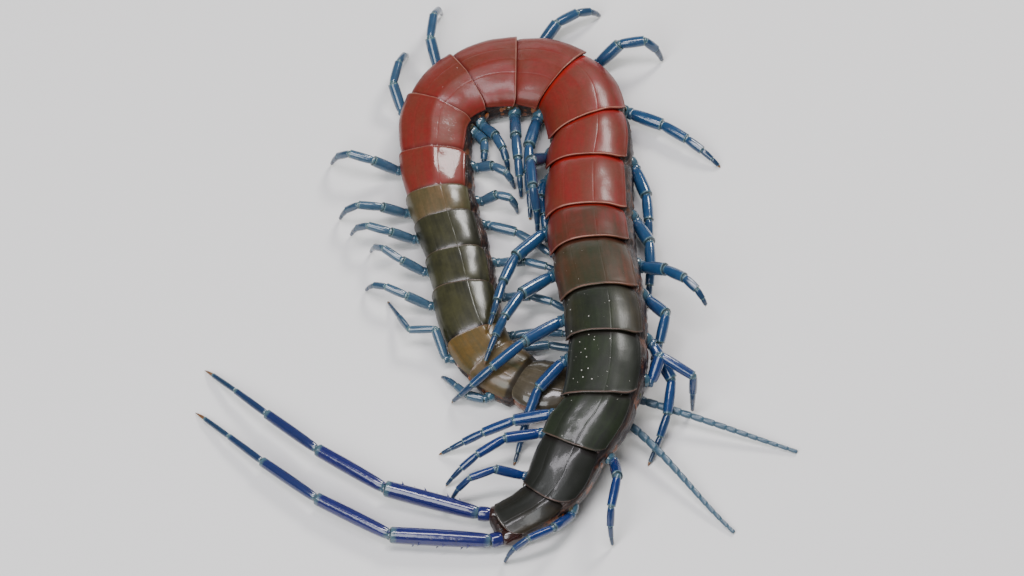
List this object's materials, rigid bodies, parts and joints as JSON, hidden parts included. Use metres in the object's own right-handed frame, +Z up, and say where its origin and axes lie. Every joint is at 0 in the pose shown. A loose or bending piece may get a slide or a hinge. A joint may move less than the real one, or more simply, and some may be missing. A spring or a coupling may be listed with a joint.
{
  "type": "giant centipede",
  "caption": "Life-size still giant centipede lying in a hairpin, its plated trunk arched over its own head, with jointed blue legs, antennae, poison claws and long rear legs.",
  "frame": {"origin": "on the floor, under the middle of the model's outline", "axes": "+Z up; the hairpin's bend lies towards +Y and the tail towards -Y; the head faces +X"},
  "size_m": [0.0902, 0.101, 0.0135],
  "materials": {
    "shell_olive": "glossy olive-brown cuticle",
    "shell_red": "glossy maroon-red cuticle",
    "shell_dark": "glossy green-black cuticle",
    "head_shell": "glossy grey-olive cuticle",
    "poison_claw": "glossy dark red-brown claw",
    "antenna_blue": "satin grey-blue feeler",
    "leg_blue": "glossy steel-blue jointed leg",
    "rear_leg_blue": "glossy blue-violet rear leg"
  },
  "bodies": {
    "root": {"trunk_01_03": "shell_olive", "trunk_04_06": "shell_olive", "trunk_07_09": "shell_red", "trunk_10_12": "shell_red", "trunk_13_15": "shell_red", "trunk_16_18": "shell_dark", "trunk_19_21": "shell_dark", "leg_01_left": "leg_blue", "leg_01_right": "leg_blue", "leg_02_left": "leg_blue", "leg_02_right": "leg_blue", "leg_03_left": "leg_blue", "leg_03_right": "leg_blue", "leg_04_left": "leg_blue", "leg_04_right": "leg_blue", "leg_05_left": "leg_blue", "leg_05_right": "leg_blue", "leg_06_left": "leg_blue", "leg_06_right": "leg_blue", "leg_07_left": "leg_blue", "leg_07_right": "leg_blue", "leg_08_left": "leg_blue", "leg_08_right": "leg_blue", "leg_09_left": "leg_blue", "leg_09_right": "leg_blue", "leg_10_left": "leg_blue", "leg_10_right": "leg_blue", "leg_11_left": "leg_blue", "leg_11_right": "leg_blue", "leg_12_left": "leg_blue", "leg_12_right": "leg_blue", "leg_13_left": "leg_blue", "leg_13_right": "leg_blue", "leg_14_left": "leg_blue", "leg_14_right": "leg_blue", "leg_15_left": "leg_blue", "leg_15_right": "leg_blue", "leg_16_left": "leg_blue", "leg_16_right": "leg_blue", "leg_17_left": "leg_blue", "leg_17_right": "leg_blue", "leg_18_left": "leg_blue", "leg_18_right": "leg_blue", "leg_19_left": "leg_blue", "leg_19_right": "leg_blue", "leg_20_left": "leg_blue", "leg_20_right": "leg_blue", "leg_21_left": "rear_leg_blue", "leg_21_right": "rear_leg_blue", "head": "head_shell", "forcipule_left": "poison_claw", "forcipule_right": "poison_claw", "antenna_left": "antenna_blue", "antenna_right": "antenna_blue"}
  },
  "joints": []
}
